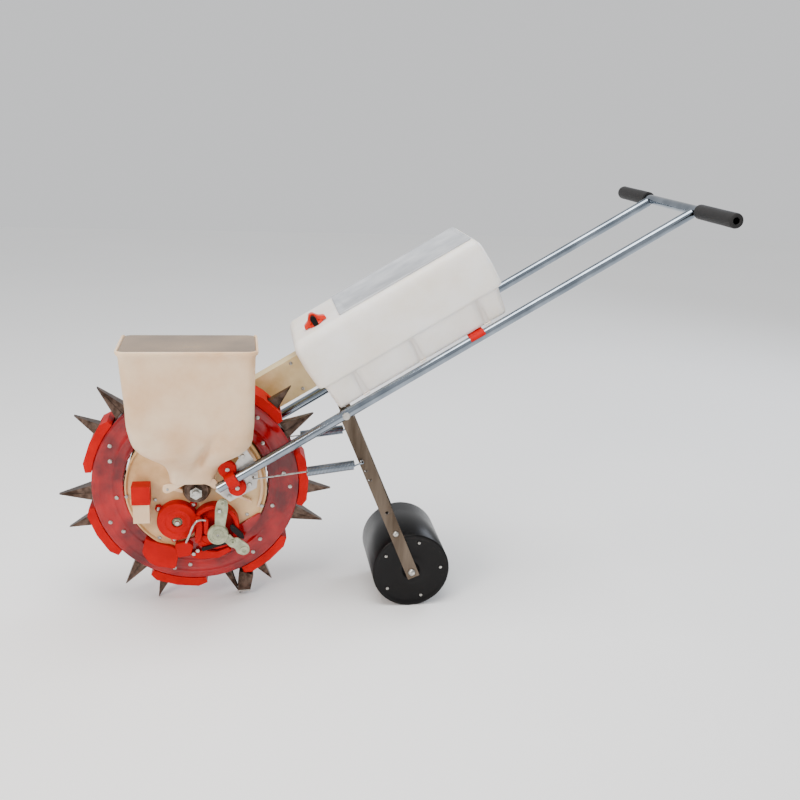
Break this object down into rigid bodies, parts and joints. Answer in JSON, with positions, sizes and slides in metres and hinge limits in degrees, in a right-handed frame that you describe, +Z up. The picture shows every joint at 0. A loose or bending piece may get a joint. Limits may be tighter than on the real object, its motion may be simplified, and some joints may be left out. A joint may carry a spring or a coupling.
{
  "type": "push seeder",
  "caption": "Hand-pushed seeder with a beaked planting wheel, side seed hopper, fertilizer box on twin tubes, sprung press roller and a T handle.",
  "frame": {"origin": "on the ground, under the middle of the bounding box", "axes": "+X towards the handle (rear), +Y to the side away from the seed hopper, +Z up"},
  "size_m": [1.2662, 0.552, 0.8631],
  "materials": {
    "red_disc": "glossy, slightly translucent moulded red",
    "gear_plastic": "moulded gear plastic",
    "beak_steel": "dark formed sheet steel with worn edges",
    "red_plastic": "opaque bright red moulding",
    "cream_plastic": "blow moulded natural polyethylene, cream",
    "white_plastic": "blow moulded translucent white polyethylene",
    "smoked_lid": "flat glossy taupe sheet",
    "chrome_tube": "bright plated steel tube",
    "spring_steel": "bright zinc plated spring wire",
    "satin_steel": "rolled steel flat bar and bolts",
    "plate_steel": "light grey coated steel plate",
    "black_roller": "glossy black moulded roller",
    "foam_grip": "black closed cell foam sleeve"
  },
  "bodies": {
    "frame": {"tube_near": "chrome_tube", "tube_far": "chrome_tube", "handle_bar": "chrome_tube", "grip_near": "foam_grip", "grip_far": "foam_grip", "axle": "satin_steel", "hub_near": "cream_plastic", "hub_far": "cream_plastic", "mount_plate_near": "plate_steel", "mount_plate_far": "plate_steel", "pipe_clamp_near": "red_plastic", "pipe_clamp_far": "red_plastic", "metering_cover": "red_plastic", "drive_cover": "red_plastic", "seed_spout": "cream_plastic", "spout_cap": "red_plastic", "hopper": "cream_plastic", "fertilizer_box": "white_plastic", "box_saddle_near": "red_plastic", "box_saddle_far": "red_plastic", "feed_chute": "cream_plastic", "fork_pin": "satin_steel", "tie_wire_near": "spring_steel", "tie_wire_far": "spring_steel"},
    "seed_wheel": {"side_disc_near": "red_disc", "side_disc_far": "red_disc", "rim_drum": "red_disc", "ring_gear": "gear_plastic", "beak_pair_1": "beak_steel", "beak_pair_2": "beak_steel", "beak_pair_3": "beak_steel", "beak_pair_4": "beak_steel", "beak_pair_5": "beak_steel", "beak_pair_6": "beak_steel", "beak_pair_7": "beak_steel", "tread_pad_1": "red_plastic", "tread_pad_2": "red_plastic", "tread_pad_3": "red_plastic", "tread_pad_4": "red_plastic", "tread_pad_5": "red_plastic", "tread_pad_6": "red_plastic", "tread_pad_7": "red_plastic"},
    "jaw_body_1": {"jaw_1": "beak_steel"},
    "jaw_body_2": {"jaw_2": "beak_steel"},
    "jaw_body_3": {"jaw_3": "beak_steel"},
    "jaw_body_4": {"jaw_4": "beak_steel"},
    "jaw_body_5": {"jaw_5": "beak_steel"},
    "jaw_body_6": {"jaw_6": "beak_steel"},
    "jaw_body_7": {"jaw_7": "beak_steel"},
    "metering_shaft": {"metering_roller": "gear_plastic"},
    "feed_lever_body": {"feed_lever": "cream_plastic"},
    "hopper_lid_body": {"hopper_lid": "smoked_lid"},
    "box_lid_body": {"box_lid": "white_plastic"},
    "knob_body": {"dosing_knob": "red_plastic"},
    "fork": {"leg_near": "satin_steel", "leg_far": "satin_steel", "roller_axle": "satin_steel"},
    "roller_body": {"press_roller": "black_roller"},
    "spring_near_body": {"spring_near": "spring_steel"},
    "spring_far_body": {"spring_far": "spring_steel"}
  },
  "joints": [
    {"name": "wheel_spin", "type": "hinge", "parent": "frame", "child": "seed_wheel", "pos_m": [-0.35617, 0, 0.2645], "axis": [0, 1, 0], "continuous": true},
    {"name": "jaw_open_1", "type": "hinge", "parent": "seed_wheel", "child": "jaw_body_1", "pos_m": [-0.27761, 0, 0.06817], "axis": [0, -1, 0], "range_deg": [-14, 4]},
    {"name": "jaw_open_2", "type": "hinge", "parent": "seed_wheel", "child": "jaw_body_2", "pos_m": [-0.15369, 0, 0.20351], "axis": [0, -1, 0], "range_deg": [0, 18], "stiffness_Nm_per_rad": 0.4, "springref_deg": -14.32},
    {"name": "jaw_open_3", "type": "hinge", "parent": "seed_wheel", "child": "jaw_body_3", "pos_m": [-0.18225, 0, 0.38478], "axis": [0, -1, 0], "range_deg": [0, 18], "stiffness_Nm_per_rad": 0.4, "springref_deg": -14.32},
    {"name": "jaw_open_4", "type": "hinge", "parent": "seed_wheel", "child": "jaw_body_4", "pos_m": [-0.34178, 0, 0.47547], "axis": [0, -1, 0], "range_deg": [0, 18], "stiffness_Nm_per_rad": 0.4, "springref_deg": -14.32},
    {"name": "jaw_open_5", "type": "hinge", "parent": "seed_wheel", "child": "jaw_body_5", "pos_m": [-0.51214, 0, 0.40729], "axis": [0, -1, 0], "range_deg": [0, 18], "stiffness_Nm_per_rad": 0.4, "springref_deg": -14.32},
    {"name": "jaw_open_6", "type": "hinge", "parent": "seed_wheel", "child": "jaw_body_6", "pos_m": [-0.56506, 0, 0.23159], "axis": [0, -1, 0], "range_deg": [0, 18], "stiffness_Nm_per_rad": 0.4, "springref_deg": -14.32},
    {"name": "jaw_open_7", "type": "hinge", "parent": "seed_wheel", "child": "jaw_body_7", "pos_m": [-0.46068, 0, 0.08066], "axis": [0, -1, 0], "range_deg": [0, 18], "stiffness_Nm_per_rad": 0.4, "springref_deg": -14.32},
    {"name": "metering_spin", "type": "hinge", "parent": "frame", "child": "metering_shaft", "pos_m": [-0.39517, 0, 0.1981], "axis": [0, 1, 0], "continuous": true},
    {"name": "feed_lever_swing", "type": "hinge", "parent": "frame", "child": "feed_lever_body", "pos_m": [-0.31417, -0.08, 0.1745], "axis": [0, -1, 0], "range_deg": [-20, 20]},
    {"name": "hopper_lid_hinge", "type": "hinge", "parent": "frame", "child": "hopper_lid_body", "pos_m": [-0.36117, -0.0484, 0.57942], "axis": [-1, 0, 0], "range_deg": [0, 110]},
    {"name": "box_lid_hinge", "type": "hinge", "parent": "frame", "child": "box_lid_body", "pos_m": [0.04853, 0.086, 0.70944], "axis": [-0.8563, 0, -0.5165], "range_deg": [0, 100]},
    {"name": "dosing_turn", "type": "hinge", "parent": "frame", "child": "knob_body", "pos_m": [-0.11759, -0.048, 0.60537], "axis": [-0.5165, 0, 0.8563], "range_deg": [0, 90]},
    {"name": "fork_swing", "type": "hinge", "parent": "frame", "child": "fork", "pos_m": [-0.06214, 0, 0.43795], "axis": [0, -1, 0], "range_deg": [0, 12], "stiffness_Nm_per_rad": 60, "springref_deg": -14.32},
    {"name": "roller_spin", "type": "hinge", "parent": "fork", "child": "roller_body", "pos_m": [0.08685, 0, 0.08212], "axis": [0, 1, 0], "continuous": true},
    {"name": "spring_near_swing", "type": "hinge", "parent": "fork", "child": "spring_near_body", "pos_m": [-0.02519, 0, 0.33417], "axis": [0, -1, 0], "range_deg": [-7.5, 0.5]},
    {"name": "spring_far_swing", "type": "hinge", "parent": "fork", "child": "spring_far_body", "pos_m": [-0.02519, 0, 0.33417], "axis": [0, -1, 0], "range_deg": [-7.5, 0.5]}
  ],
  "couplings": [
    {"joint": "metering_spin", "follows": "wheel_spin", "ratio": 2.1667},
    {"joint": "spring_near_swing", "follows": "fork_swing", "ratio": -0.6},
    {"joint": "spring_far_swing", "follows": "fork_swing", "ratio": -0.6}
  ]
}
